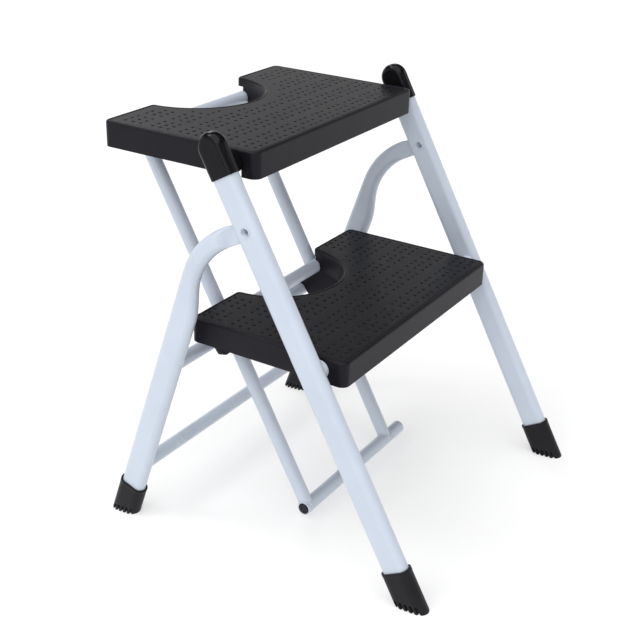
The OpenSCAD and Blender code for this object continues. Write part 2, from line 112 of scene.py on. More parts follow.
def tread_frame(front):
    """From a tread's own frame (x, back, up) in millimetres to the row frame."""
    return MM @ Matrix.Translation((0, front.x, front.y)) @ Matrix.Rotation(STEP_PITCH, 4, "X")


def along_x(x, p):
    """A frame in millimetres with its Z axis along the row's X, through a side-plane point."""
    return Matrix.Translation((x, p.x, p.y)) @ Matrix.Rotation(math.pi / 2, 4, "Y")


def mirrored(matrix, wanted):
    return MIRROR @ matrix if wanted else matrix


def mix(a, b, u):
    return a + (b - a) * u


def clamp(u):
    return min(1.0, max(0.0, u))


def ease(u):
    return u * u * (3 - 2 * u)


# ---------- materials ----------

# the range of a noise's values that a colour ramp or a roughness spans
NOISE_RANGE = (0.15, 0.85)


def new_material(name):
    material = bpy.data.materials.new(name)
    material.use_nodes = True
    tree = material.node_tree
    return material, tree, tree.nodes["Principled BSDF"], tree.nodes.new("ShaderNodeTexCoord")


def noise(tree, coords, scale, detail, rough=0.5):
    """A noise over the object's own coordinates, as a socket."""
    node = tree.nodes.new("ShaderNodeTexNoise")
    node.inputs["Scale"].default_value = scale
    node.inputs["Detail"].default_value = detail
    node.inputs["Roughness"].default_value = rough
    tree.links.new(coords.outputs["Object"], node.inputs["Vector"])
    return node.outputs["Fac"]


def spread(tree, output, low, high):
    """Turns a noise into values between two limits, smoothly."""
    node = tree.nodes.new("ShaderNodeMapRange")
    node.interpolation_type = "SMOOTHSTEP"
    node.inputs["From Min"].default_value, node.inputs["From Max"].default_value = NOISE_RANGE
    node.inputs["To Min"].default_value, node.inputs["To Max"].default_value = low, high
    tree.links.new(output, node.inputs["Value"])
    return node.outputs["Result"]


def tint(tree, output, dark, light):
    """Turns a noise into colours between two, smoothly."""
    node = tree.nodes.new("ShaderNodeValToRGB")
    node.color_ramp.interpolation = "EASE"
    for element, position, color in zip(node.color_ramp.elements, NOISE_RANGE, (dark, light)):
        element.position, element.color = position, (*color, 1)
    tree.links.new(output, node.inputs["Fac"])
    return node.outputs["Color"]


def relief(tree, shader, layers):
    """Chains bumps; a layer is (height, strength, distance in metres)."""
    normal = None
    for height, strength, distance in layers:
        node = tree.nodes.new("ShaderNodeBump")
        node.inputs["Strength"].default_value = strength
        node.inputs["Distance"].default_value = distance
        tree.links.new(height, node.inputs["Height"])
        if normal is not None:
            tree.links.new(normal, node.inputs["Normal"])
        normal = node.outputs["Normal"]
    tree.links.new(normal, shader.inputs["Normal"])


def powder_coat(name, dark, light, rough):
    """Gloss powder coat with orange peel and faint clouding."""
    material, tree, shader, coords = new_material(name)
    cloud = noise(tree, coords, scale=22.0, detail=4.0)
    peel = noise(tree, coords, scale=520.0, detail=2.0, rough=0.4)
    tree.links.new(tint(tree, cloud, dark, light), shader.inputs["Base Color"])
    tree.links.new(spread(tree, cloud, *rough), shader.inputs["Roughness"])
    shader.inputs["Coat Weight"].default_value = 0.3
    shader.inputs["Coat Roughness"].default_value = 0.1
    relief(tree, shader, [(peel, 0.03, 0.0004)])
    return material


def moulded(name, dark, light, rough, grain_scale, grain, specular):
    """Moulded plastic or rubber with a fine grain and faint flow clouding."""
    material, tree, shader, coords = new_material(name)
    cloud = noise(tree, coords, scale=30.0, detail=5.0)
    fine = noise(tree, coords, scale=grain_scale, detail=3.0, rough=0.6)
    flow = noise(tree, coords, scale=9.0, detail=2.0)
    tree.links.new(tint(tree, cloud, dark, light), shader.inputs["Base Color"])
    tree.links.new(spread(tree, fine, *rough), shader.inputs["Roughness"])
    shader.inputs["Specular IOR Level"].default_value = specular
    shader.inputs["Specular Tint"].default_value = (0.90, 0.87, 1.0, 1)
    relief(tree, shader, [(flow, 0.04, 0.003), (fine, grain, 0.0003)])
    return material


def plated(name, dark, light, rough):
    """Zinc-plated steel with fine drawn marks."""
    material, tree, shader, coords = new_material(name)
    marks = noise(tree, coords, scale=900.0, detail=4.0, rough=0.7)
    tree.links.new(tint(tree, marks, dark, light), shader.inputs["Base Color"])
    tree.links.new(spread(tree, marks, *rough), shader.inputs["Roughness"])
    shader.inputs["Metallic"].default_value = 1.0
    relief(tree, shader, [(marks, 0.15, 0.0002)])
    return material


# slot: dark and light colour, roughness, grain scale, grain strength, specular level
MOULDED = {
    "tread_plastic": ((0.0055, 0.0052, 0.0068), (0.0080, 0.0076, 0.0096),
                      (0.36, 0.46), 1500.0, 0.12, 0.17),
    "cap_plastic": ((0.004, 0.004, 0.0045), (0.006, 0.006, 0.0065),
                    (0.14, 0.19), 1500.0, 0.03, 0.17),
    "foot_rubber": ((0.006, 0.006, 0.0065), (0.010, 0.010, 0.011),
                    (0.40, 0.52), 1300.0, 0.15, 0.20),
    "clip_plastic": ((0.009, 0.009, 0.010), (0.013, 0.013, 0.015),
                     (0.42, 0.55), 1300.0, 0.15, 0.20),
    "plug_plastic": ((0.010, 0.010, 0.011), (0.015, 0.015, 0.017),
                     (0.34, 0.46), 1300.0, 0.12, 0.25),
    "spacer_plastic": ((0.58, 0.64, 0.74), (0.64, 0.70, 0.79),
                       (0.30, 0.42), 900.0, 0.1, 0.5),
}
SLOT_MATERIAL = {slot: moulded(slot, *values) for slot, values in MOULDED.items()}
SLOT_MATERIAL["frame_paint"] = powder_coat(
    "powder_coat", (0.472, 0.526, 0.610), (0.505, 0.560, 0.648), (0.26, 0.36))
SLOT_MATERIAL["screw_steel"] = plated(
    "screw_steel", (0.465, 0.48, 0.5025), (0.62, 0.64, 0.67), (0.28, 0.42))

for part in frame["record"]["subparts"]:
    mesh = NODES[part["node"]].data
    mesh.materials.clear()
    mesh.materials.append(SLOT_MATERIAL[part["material_slot"]])

# ---------- mesh helpers ----------

def made(name, bm, matrix):
    """Turns a bmesh, in the given frame, into an object in the row frame."""
    bmesh.ops.recalc_face_normals(bm, faces=bm.faces)
    mesh = bpy.data.meshes.new(name)
    bm.to_mesh(mesh)
    bm.free()
    mesh.transform(matrix)
    if matrix.determinant() < 0:
        mesh.flip_normals()
    piece = bpy.data.objects.new(name, mesh)
    bpy.context.scene.collection.objects.link(piece)
    return piece


def dress(piece, body, slot, replaced, angle, weighted=True):
    """Gives a piece its material, shading and place in the table."""
    piece.data.materials.clear()
    piece.data.materials.append(SLOT_MATERIAL[slot])
    piece.data.shade_smooth()
    piece.data.set_sharp_from_angle(angle=math.radians(angle))
    if weighted:
        piece.modifiers.new("weighted", "WEIGHTED_NORMAL").keep_sharp = True
    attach(piece, body)
    if replaced:
        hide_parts(*replaced)


def cut(piece, bm, matrix):
    """Takes a closed bmesh's volume, in the given frame, away from a piece for good."""
    cutter = made("cutter", bm, matrix)
    modifier = piece.modifiers.new("cut", "BOOLEAN")
    modifier.object = cutter
    modifier.solver = "EXACT"
    bpy.context.view_layer.update()
    graph = bpy.context.evaluated_depsgraph_get()
    result = bpy.data.meshes.new_from_object(piece.evaluated_get(graph))
    piece.modifiers.clear()
    piece.data = result
    bpy.data.objects.remove(cutter)


def bridge(bm, a, b, turn=0):
    """Quads between two closed rings of vertices, the second one starting some steps on."""
    count = len(a)
    for i in range(count):
        j = (i + 1) % count
        bm.faces.new((a[i], a[j], b[(j + turn) % count], b[(i + turn) % count]))


def loft(bm, rings, capped=True):
    """Bridges closed rings of points and returns their vertices."""
    rows = [[bm.verts.new(p) for p in ring] for ring in rings]
    for a, b in zip(rows, rows[1:]):
        bridge(bm, a, b)
    if capped:
        bm.faces.new(list(reversed(rows[0])))
        bm.faces.new(rows[-1])
    return rows


def turns(count):
    """Evenly spaced angles round a circle."""
    return [2 * math.pi * i / count for i in range(count)]


def circle(radius, along, steps, place=Matrix.Identity(4)):
    return [place @ Vector((radius * math.cos(a), radius * math.sin(a), along))
            for a in turns(steps)]


def lathe(bm, profile, steps, place):
    """A closed solid from (distance along, radius) pairs about a frame's Z axis."""
    loft(bm, [circle(radius, along, steps, place) for along, radius in profile])


def oval(w, t, steps):
    """Points round a flat oval with its thin side along X."""
    return [Vector((t / 2 * math.cos(a), t / 2 * math.sin(a) + side * (w - t) / 2))
            for side, start in ((1, 0.0), (-1, math.pi))
            for a in [start + math.pi * i / steps for i in range(steps + 1)]]


def prism(points, low, high):
    """A closed solid from a drawing, in its own frame."""
    bm = bmesh.new()
    loft(bm, [[(p.x, p.y, z) for p in points] for z in (low, high)])
    return bm


# ---------- treads ----------

# (inset, height) from the skirt over the rounded bead and through the groove
EDGE_PROFILE = ((0.08, -2.30), (0.35, -1.55), (0.85, -0.85), (1.50, -0.35), (2.30, -0.07),
                (2.9, 0.0), (3.4, -0.06), (3.75, -0.28), (4.0, -0.66), (4.25, -0.78),
                (4.6, -0.68), (4.95, -0.42), (5.3, -0.28))
FIELD_Z = -0.28
DIMPLE_STEPS = 14
DIMPLE_RX, DIMPLE_RY = 2.2, 2.05
# (share of the radius, depth below the field)
DIMPLE_PROFILE = ((0.94, 0.12), (0.84, 0.70), (0.66, 1.15), (0.34, 1.35))
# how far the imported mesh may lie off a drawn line, off a height, and between its own doubles
ON_LINE, ON_LEVEL, DOUBLES = 0.05, 0.01, 0.002
FIELD_EPSILON = 1e-5


def inward(p, w, d):
    """The tread outline's inward direction at a point on it."""
    notch = Vector((0, d))
    mouth_x = math.sqrt((NOTCH_R + MOUTH_R) ** 2 - MOUTH_R ** 2)
    mouth = Vector((math.copysign(mouth_x, p.x), d - MOUTH_R))
    if abs((p - mouth).length - MOUTH_R) < ON_LINE and abs(p.x) < mouth_x + ON_LINE:
        return (mouth - p).normalized()
    if abs((p - notch).length - NOTCH_R) < ON_LINE:
        return (p - notch).normalized()
    for radius, cy, near in ((FRONT_CORNER_R, FRONT_CORNER_R, p.y < FRONT_CORNER_R),
                             (REAR_CORNER_R, d - REAR_CORNER_R, p.y > d - REAR_CORNER_R)):
        cx = w / 2 - radius
        if near and abs(p.x) > cx:
            return (Vector((math.copysign(cx, p.x), cy)) - p).normalized()
    if p.y < 1:
        return Vector((0, 1))
    if p.y > d - 1:
        return Vector((0, -1))
    return Vector((-math.copysign(1, p.x), 0))


def boundary(bm, height):
    """The open edge loop at a height, in order and counterclockwise."""
    open_edges = {e for e in bm.edges
                  if e.is_boundary and min(v.co.z for v in e.verts) > height - ON_LEVEL}
    start = min(open_edges, key=lambda e: e.index).verts[0]
    loop, at, last = [start], start, None
    while True:
        last = [e for e in at.link_edges if e in open_edges and e != last][0]
        at = last.other_vert(at)
        if at == start:
            break
        loop.append(at)
    area = sum(a.co.x * b.co.y - b.co.x * a.co.y for a, b in zip(loop, loop[1:] + loop[:1]))
    return loop if area > 0 else loop[::-1]


def dimple_centres(d, pitch, gap, first_y, clear):
    """Three by three clusters, nine across and five deep, clear of the notch."""
    return [p for cx in range(-4, 5) for cy in range(5) for i in (-1, 0, 1) for j in (-1, 0, 1)
            for p in [Vector((cx * pitch[0] + i * gap[0], first_y + cy * pitch[1] + j * gap[1]))]
            if (p - Vector((0, d))).length > NOTCH_R + clear]


def field(bm, row, centres):
    """Fills a closed row with a flat field and returns each dimple's rim in it."""
    points = [v.co.xy.copy() for v in row]
    edges = [(i, (i + 1) % len(row)) for i in range(len(row))]
    owner = [-1] * len(row)
    for number, centre in enumerate(centres):
        first = len(points)
        for k, a in enumerate(turns(DIMPLE_STEPS)):
            points.append(centre + Vector((DIMPLE_RX * math.cos(a), DIMPLE_RY * math.sin(a))))
            owner.append(number)
            edges.append((first + k, first + (k + 1) % DIMPLE_STEPS))
    places, _, faces, origins, _, _ = delaunay_2d_cdt(points, edges, [], 1, FIELD_EPSILON)
    verts, rims, owners = [], {}, []
    for place, origin in zip(places, origins):
        source = origin[0]
        owners.append(owner[source])
        verts.append(row[source] if source < len(row)
                     else bm.verts.new((place.x, place.y, FIELD_Z)))
        if owner[source] >= 0:
            rims.setdefault(owner[source], {})[source] = verts[-1]
    for face in faces:
        over = {owners[i] for i in face}
        if over == {-1} or len(over) > 1:
            bm.faces.new([verts[i] for i in face])
    return {number: [rim[k] for k in sorted(rim)] for number, rim in rims.items()}


def sink(bm, rim, centre):
    """A round-bottomed dimple below its rim."""
    ring = rim
    for share, depth in DIMPLE_PROFILE:
        inner = [bm.verts.new((*(centre + (v.co.xy - centre) * share), FIELD_Z - depth))
                 for v in rim]
        bridge(bm, ring, inner)
        ring = inner
    bm.faces.new(ring)


def tread(name, node, body, front, w, d, centres):
    """The CAD tread with its flat top made anew: bead, groove, field and dimples."""
    matrix = tread_frame(front)
    bm = bmesh.new()
    bm.from_mesh(NODES[node].data)
    bm.transform(matrix.inverted())
    bmesh.ops.remove_doubles(bm, verts=bm.verts, dist=DOUBLES)
    tops = [f for f in bm.faces if min(v.co.z for v in f.verts) > SKIRT_TOP - ON_LEVEL]
    bmesh.ops.delete(bm, geom=tops, context="FACES")
    row = boundary(bm, SKIRT_TOP)
    base = [v.co.xy.copy() for v in row]
    normals = [inward(p, w, d) for p in base]
    for inset, z in EDGE_PROFILE:
        inner = [bm.verts.new((*(p + n * inset), z)) for p, n in zip(base, normals)]
        bridge(bm, row, inner)
        row = inner
    for number, rim in field(bm, row, centres).items():
        sink(bm, rim, centres[number])
    dress(made(name, bm, matrix), body, "tread_plastic", (node,), 32.0)


tread("top_tread_moulding", "top_tread", "top_step",
      Vector((TOP_PIVOT.x - TOP_OVERHANG, TOP_Z)), TOP_W, TOP_D,
      dimple_centres(TOP_D, (33.8, 36.2), (9.7, 10.0), first_y=22.0, clear=17.0))
tread("lower_tread_moulding", "lower_tread", "lower_step",
      Vector((LOWER_PIVOT.x - LOWER_OVERHANG, LOWER_Z)), LOWER_W, LOWER_D,
      dimple_centres(LOWER_D, (35.4, 37.6), (10.1, 10.2), first_y=23.5, clear=11.0))

# ---------- rear legs ----------

REAR_UP = Vector((-math.sin(REAR_LEAN), math.cos(REAR_LEAN)))
REAR_BACK = Vector((math.cos(REAR_LEAN), math.sin(REAR_LEAN)))
FROM_FOOT = RIVET - Vector((REAR_FOOT_Y, 0))
RIVET_ACROSS, RIVET_ALONG = FROM_FOOT.dot(REAR_BACK), FROM_FOOT.dot(REAR_UP)
NARROW_SHIFT = (LEG_W - BEND_W) / 2
TONGUE_LEN = ((NARROW_SHIFT - RIVET_ACROSS - BEND_R * (1 - math.cos(BEND_TURN)))
              / math.sin(BEND_TURN))
BEND_START = RIVET_ALONG - BEND_R * math.sin(BEND_TURN) - TONGUE_LEN * math.cos(BEND_TURN)
TONGUE_X = FRONT_LEG_X - REAR_LEG_X
# heights on the straight part: just above the boot, and below the taper's start
ABOVE_BOOT, BELOW_TAPER = 46.0, 20
TAPER_RINGS, BEND_RINGS, PINCH_RINGS, TONGUE_STEP = 11, 18, 14, 10
OVAL_STEPS = 14
# the hole for the rivet: its play, its reach to either side of the tongue, its steps
HOLE_PLAY, HOLE_REACH, HOLE_STEPS = 0.05, (-9, 6), 32


def bend_point(a, r):
    return Vector((NARROW_SHIFT - BEND_R + r * math.cos(a), BEND_START + r * math.sin(a)))


def tongue_point(back, off):
    """A point on the tongue, from the rivet: back towards the bend, and off its centre line."""
    s, c = math.sin(BEND_TURN), math.cos(BEND_TURN)
    return Vector((RIVET_ACROSS + back * s + off * c, RIVET_ALONG - back * c + off * s))


def pinch_edge(side, u):
    """A point of the pinched part's outer (1) or inner (-1) edge, u of the way to the crease."""
    r = BEND_R + side * BEND_W / 2
    arc = r * PINCH_TURN
    straight = TONGUE_LEN - CREASE_BACK + side * CREASE_SKEW
    s = u * (arc + straight)
    if s < arc:
        return bend_point(BEND_TURN - PINCH_TURN + s / r, r)
    half = mix(BEND_W, TONGUE_W, (s - arc) / straight) / 2
    return tongue_point(TONGUE_LEN - (s - arc), side * half)


def leg_ring(x, upper, lower, t):
    """A ring of the tube between two edge points."""
    across, middle = (upper - lower).normalized(), (upper + lower) / 2
    points = oval((upper - lower).length, t, OVAL_STEPS)
    return [Vector((x + p.x, *(middle + across * p.y))) for p in points]


def rear_leg(side, name):
    rings = []
    for z in (TUBE_START, ABOVE_BOOT, BEND_START - TAPER_LEN - BELOW_TAPER):
        rings.append(leg_ring(0, Vector((LEG_W / 2, z)), Vector((-LEG_W / 2, z)), LEG_T))
    for i in range(TAPER_RINGS):
        e, z = ease(i / TAPER_RINGS), BEND_START - TAPER_LEN * (1 - i / TAPER_RINGS)
        half, shift = mix(LEG_W, BEND_W, e) / 2, mix(0, NARROW_SHIFT, e)
        rings.append(leg_ring(0, Vector((shift + half, z)), Vector((shift - half, z)), LEG_T))
    for i in range(BEND_RINGS):
        a = (BEND_TURN - PINCH_TURN) * i / (BEND_RINGS - 1)
        rings.append(leg_ring(0, bend_point(a, BEND_R + BEND_W / 2),
                              bend_point(a, BEND_R - BEND_W / 2), LEG_T))
    for i in range(1, PINCH_RINGS + 1):
        u = i / PINCH_RINGS
        rings.append(leg_ring(mix(0, TONGUE_X, ease(u)), pinch_edge(1, u), pinch_edge(-1, u),
                              mix(LEG_T, TONGUE_T, ease(u))))
    for degrees in range(0, 90, TONGUE_STEP):
        a = math.radians(degrees)
        back, off = -TONGUE_W / 2 * math.sin(a), TONGUE_W / 2 * math.cos(a)
        rings.append(leg_ring(TONGUE_X, tongue_point(back, off), tongue_point(back, -off),
                              TONGUE_T))
    bm = bmesh.new()
    loft(bm, rings)
    matrix = leg_frame(REAR_LEG_X, REAR_FOOT_Y, REAR_LEAN)
    piece = made(name + "_tube", bm, mirrored(matrix, side < 0))
    hole = bmesh.new()
    lathe(hole, [(reach, RIVET_R + HOLE_PLAY) for reach in HOLE_REACH], HOLE_STEPS,
          along_x(side * (REAR_LEG_X + TONGUE_X), RIVET))
    cut(piece, hole, MM)
    dress(piece, "rear_frame", "frame_paint", (name,), 40.0)


# ---------- rivets ----------

# (distance above the tube's face, radius) over a flared end, from shank to bore
FLARE = ((0.0, RIVET_R), (0.0, 5.5), (0.25, 5.6), (0.6, 5.45), (0.85, 5.1), (0.8, 4.75),
         (0.3, 4.3), (-0.8, 3.7), (-2.2, 3.0), (-3.4, 2.6))
RIVET_PROFILE = ([(FLANGE_X - rise, radius) for rise, radius in reversed(FLARE)]
                 + [(OUTER_X + rise, radius) for rise, radius in FLARE])
RIVET_STEPS = 40


def rivet(side, name):
    bm = bmesh.new()
    place = along_x(0, RIVET)
    rows = loft(bm, [circle(radius, x, RIVET_STEPS, place) for x, radius in RIVET_PROFILE], False)
    bridge(bm, rows[-1], rows[0])
    piece = made(name + "_eyelet", bm, mirrored(MM, side < 0))
    dress(piece, "front_frame", "frame_paint", (name,), 50.0, False)


# ---------- leg caps ----------

CROWN = FRONT_LEG_END + 1.5
CROWN_STEPS = 32
CAP_EDGE = 6.8
# heights of a cap's straight part: above its lower edge, and below the crown's centre
CAP_RISES, CAP_DROPS = (0.0, 1.0), (12, 5)
# the grooves fade out from this far below the crown's centre, over this length
FADE_BELOW, FADE_LEN = 7, 10
# (turn from cheek to narrow face in degrees, depth) of the two grooves beside the middle rib
CAP_GROOVES = ((50, 0.0), (55, 0.15), (59, 0.7), (68, 0.85), (73, 0.6), (77, 0.1), (81, 0.0),
               (90, 0.0))
# room inside a cap: play round the leg, play above its end, steps, and drop below the cap
ROOM_PLAY, ROOM_ABOVE, ROOM_STEPS, ROOM_BELOW = 0.2, 0.1, 16, 5
# the slot over the pivot tube: radius, steps, length, and its reach from the leg's inner face
SLOT_R, SLOT_STEPS, SLOT_LEN, SLOT_REACH = 8.3, 16, 30, (-0.5, 5)


def cap_section(half_t, groove):
    """(x, depth) pairs across a cap's rounded narrow face, with its two grooves."""
    half = []
    for degrees, cut_in in [(10 * i, 0.0) for i in range(5)] + list(CAP_GROOVES):
        a, r = math.radians(degrees), CAP_EDGE - cut_in * groove
        half.append((CAP_EDGE - half_t - r * math.cos(a), CAP_EDGE - r * math.sin(a)))
    return half + [(-x, depth) for x, depth in reversed(half)]


def leg_cap(side, name):
    """A cap swept over its crown from one narrow face to the other, then hollowed."""
    half_w, half_t = LEG_W / 2 + CAP_WALL, LEG_T / 2 + CAP_WALL
    bottom = CROWN - CAP_H
    heights = [bottom + rise for rise in CAP_RISES] + [CROWN - drop for drop in CAP_DROPS]
    path = [(Vector((-half_w, z)), Vector((-1, 0))) for z in heights]
    for i in range(CROWN_STEPS + 1):
        a = math.pi - math.pi * i / CROWN_STEPS
        n = Vector((math.cos(a), math.sin(a)))
        path.append((Vector((0, CROWN)) + n * half_w, n))
    path += [(Vector((-p.x, p.y)), -n) for p, n in reversed(path[:len(heights)])]
    bm = bmesh.new()
    rows = []
    for p, n in path:
        fade = ease(clamp((p.y - CROWN + FADE_BELOW) / FADE_LEN))
        rows.append([bm.verts.new((x, *(p - n * depth)))
                     for x, depth in cap_section(half_t, 1.0 - fade)])
    for a, b in zip(rows, rows[1:]):
        for i in range(len(a) - 1):
            bm.faces.new((a[i], a[i + 1], b[i + 1], b[i]))
    bm.faces.new([row[0] for row in rows])
    bm.faces.new([row[-1] for row in reversed(rows)])
    bm.faces.new(rows[0] + rows[-1][::-1])
    matrix = mirrored(leg_frame(-FRONT_LEG_X, FRONT_FOOT_Y, -FRONT_LEAN), side > 0)
    piece = made(name + "_moulding", bm, matrix)
    room = oval(LEG_W + ROOM_PLAY, LEG_T + ROOM_PLAY, ROOM_STEPS)
    cut(piece, prism(room, bottom - ROOM_BELOW, FRONT_LEG_END + ROOM_ABOVE), matrix)
    slot = [Vector((SLOT_R * math.cos(a), SLOT_R * math.sin(a)))
            for a in [math.pi * i / SLOT_STEPS for i in range(SLOT_STEPS + 1)]]
    slot += [Vector((-SLOT_R, -SLOT_LEN)), Vector((SLOT_R, -SLOT_LEN))]
    place = (Matrix.Translation((0, TOP_PIVOT.x, TOP_PIVOT.y))
             @ Matrix.Rotation(-FRONT_LEAN, 4, "X")
             @ Matrix(((0, 0, 1, 0), (1, 0, 0, 0), (0, 1, 0, 0), (0, 0, 0, 1))))
    cut(piece, prism(slot, *[reach - FLANGE_X for reach in SLOT_REACH]),
        mirrored(MM @ place, side > 0))
    dress(piece, "front_frame", "cap_plastic", (name,), 38.0)


# ---------- rubber feet ----------

# the notches between a boot's toes: pitch, half width, height, depth
TOE_PITCH, TOE_HALF, TOE_TALL, TOE_DEEP = 5.5, 1.0, 8.5, 2.3
# how far a notch's side and its top lie past those sizes, and how wide each slopes
SIDE_PAST, SIDE_SLOPE, TOP_PAST, TOP_SLOPE = 0.4, 0.6, 0.8, 1.4
# the flat side's end without toes, and how softly they start
TOE_END, TOE_START = 3.0, 1.5
# the toes' rounding at the floor: how far it lifts, its reach from a notch, its height
TOE_LIFT, LIFT_REACH, LIFT_TALL = 1.6, 2.4, 7
FLAT_STEPS, ROUND_STEPS = 30, 54
# (share of the height, inset) from the floor to the rim, with toes and above them
TOE_ROWS = ([(0.0, 1.6), (0.012, 0.9), (0.035, 0.5)]
            + [(0.035 + 0.022 * i, 0.5) for i in range(1, 13)])
WALL_ROWS = [(0.36, 0.5), (0.6, 0.55), (0.88, 0.6), (0.905, 0.55), (0.92, 0.15), (0.935, 0.0),
             (0.975, 0.0), (0.993, 0.15), (1.0, 0.5)]
# (play round the leg, height) of the lining, from the rim down to the tube's end
LINING = ((0.5, FOOT_H), (0.3, FOOT_H - 0.6), (0.3, TUBE_START - 0.1))


def boot_oval(w, thick):
    """Points round a boot's section, close together along its flat sides."""
    flat = (w - thick) / 2
    half = [Vector((thick / 2, flat * (i / (FLAT_STEPS / 2) - 1))) for i in range(FLAT_STEPS)]
    half += [Vector((thick / 2 * math.cos(a), flat + thick / 2 * math.sin(a)))
             for a in [math.pi * i / ROUND_STEPS for i in range(ROUND_STEPS)]]
    return half + [-p for p in half]


def boot_ring(t, lean, w, thick, notched):
    """A ring a share t of the way from the floor to the boot's rim."""
    ring = []
    for p in boot_oval(w, thick):
        floor = p.y * math.tan(lean)
        z = mix(-floor, FOOT_H, t)
        up = z + floor
        depth = 0.0
        if notched:
            offset = abs((p.y + 0.5 * TOE_PITCH) % TOE_PITCH - 0.5 * TOE_PITCH)
            on_side = clamp((w / 2 - TOE_END - abs(p.y)) / TOE_START)
            wide = clamp((TOE_HALF + SIDE_PAST - offset) / SIDE_SLOPE)
            tall = clamp((TOE_TALL + TOP_PAST - up) / TOP_SLOPE)
            depth = TOE_DEEP * wide * tall * on_side
            z += (TOE_LIFT * on_side * max(0.0, 1 - offset / LIFT_REACH) ** 2
                  * max(0.0, 1 - up / LIFT_TALL))
        ring.append(Vector((p.x - math.copysign(min(depth, abs(p.x)), p.x), p.y, z)))
    return ring


def boot(side, name, x, foot_y, lean):
    w, t = LEG_W + 2 * FOOT_WALL, LEG_T + 2 * FOOT_WALL
    rings = [boot_ring(share, lean, w - inset, t - inset, notched)
             for rows, notched in ((TOE_ROWS, True), (WALL_ROWS, False))
             for share, inset in rows]
    rings += [[Vector((p.x, p.y, z)) for p in boot_oval(LEG_W + play, LEG_T + play)]
              for play, z in LINING]
    bm = bmesh.new()
    loft(bm, rings)
    piece = made(name + "_boot", bm, leg_frame(side * x, foot_y, lean))
    dress(piece, "front_frame" if lean < 0 else "rear_frame", "foot_rubber", (name,), 35.0)


# ---------- plugs ----------

# (distance out of the tube, radius)
PLUG_PROFILE = ((-10, 6.6), (-0.2, 6.75), (0.0, 6.4), (0.35, 6.35), (0.65, 6.1), (0.8, 5.7),
                (0.72, 5.2), (0.35, 4.9), (0.3, 4.5), (0.6, 4.2), (0.75, 3.8), (0.7, 3.3),
                (0.35, 3.0), (0.3, 2.5), (0.55, 2.0), (0.6, 1.0))
PLUG_STEPS = 36
BOTTOM_BAR_LEFT, BOTTOM_BAR_RIGHT = -100, 126


def plugs(name, places):
    bm = bmesh.new()
    for place in places:
        lathe(bm, PLUG_PROFILE, PLUG_STEPS, place)
    dress(made(name + "_ringed", bm, MM), "link_frame", "plug_plastic", (name,), 40.0, False)


# ---------- weld beads ----------

BEAD_STEPS = 10
# how much a bead's radius varies, and how fast along its path
RIPPLE, RIPPLE_TURN = 0.10, 1.9
ROUND_BAR, ROUND_SADDLE, ROUND_TEE = 40, 28, 44


def bead(bm, path, radius):
    """A thin closed rope of weld along a closed path."""
    rings = []
    for i, p in enumerate(path):
        forward = (path[(i + 1) % len(path)] - path[i - 1]).normalized()
        side = forward.orthogonal() if i == 0 else (side - forward * side.dot(forward))
        side.normalize()
        up = forward.cross(side)
        r = radius * (1 + RIPPLE * math.sin(i * RIPPLE_TURN))
        rings.append([p + (side * math.cos(a) + up * math.sin(a)) * r
                      for a in turns(BEAD_STEPS)])
    rows = loft(bm, rings, False)
    # the last ring joins the first at the nearest turn
    shift = min(range(BEAD_STEPS), key=lambda k: (rows[-1][0].co - rows[0][k].co).length)
    bridge(bm, rows[-1], rows[0], shift)


def around(x, p):
    """Round a bar's end."""
    return circle(BAR_R, 0, ROUND_BAR, along_x(x, p))


def saddle_path(x, p, reach):
    """Round the touching place of a link tube and the bar ahead of it."""
    middle = Vector((x, *(p + FRONT_BACK * (LINK_OFFSET / 2))))
    up = Vector((0, *FRONT_UP))
    back = Vector((0, *FRONT_BACK))
    path = []
    for a in turns(ROUND_SADDLE):
        on_bar, on_tube = reach * math.sin(a), reach * math.cos(a)
        lean = (on_tube ** 2 - on_bar ** 2) / (4 * BAR_R)
        path.append(middle + Vector((on_tube, 0, 0)) + up * on_bar + back * lean)
    return path


def tee_path(x, p):
    """Where a link tube's end meets the bottom bar."""
    path = []
    for a in turns(ROUND_TEE):
        rise = math.sqrt(max(0.0, BAR_R ** 2 - (BAR_R * math.sin(a)) ** 2))
        q = p + FRONT_BACK * (BAR_R * math.sin(a)) + FRONT_UP * rise
        path.append(Vector((x + BAR_R * math.cos(a), q.x, q.y)))
    return path


def welds(name, body, paths):
    bm = bmesh.new()
    for path, radius in paths:
        bead(bm, path, radius)
    dress(made(name, bm, MM), body, "frame_paint", (), 60.0, False)


for side, hand in ((-1, "left"), (1, "right")):
    rear_leg(side, "rear_leg_" + hand)
    rivet(side, "rivet_" + hand)
    leg_cap(side, "leg_cap_" + hand)
    boot(side, "front_foot_" + hand, FRONT_LEG_X, FRONT_FOOT_Y, -FRONT_LEAN)
    boot(side, "rear_foot_" + hand, REAR_LEG_X, REAR_FOOT_Y, REAR_LEAN)

plugs("bottom_bar_plugs",
      [along_x(BOTTOM_BAR_LEFT, LINK_FOOT) @ Matrix.Rotation(math.pi, 4, "X"),
       along_x(BOTTOM_BAR_RIGHT, LINK_FOOT)])
plugs("link_tube_plugs",
      [Matrix.Translation((x, LINK_END.x, LINK_END.y)) @ Matrix.Rotation(-FRONT_LEAN, 4, "X")
       for x in (-LINK_X, LINK_X)])
REAR_INNER_X = REAR_LEG_X - LEG_T / 2
welds("rear_frame_welds", "rear_frame",
      [(around(s * REAR_INNER_X, p), 1.3) for s in (-1, 1) for p in (UPPER_BAR, LOWER_BAR)])
welds("link_frame_welds", "link_frame",
      [(saddle_path(s * LINK_X, p, 4.2), 1.1) for s in (-1, 1) for p in (TOP_LINK, LOWER_LINK)]
      + [(tee_path(s * LINK_X, LINK_FOOT), 1.0) for s in (-1, 1)])
welds("front_frame_welds", "front_frame",
      [(around(s * FLANGE_X, LOWER_PIVOT), 1.2) for s in (-1, 1)])

# ---------- floor, light, camera ----------

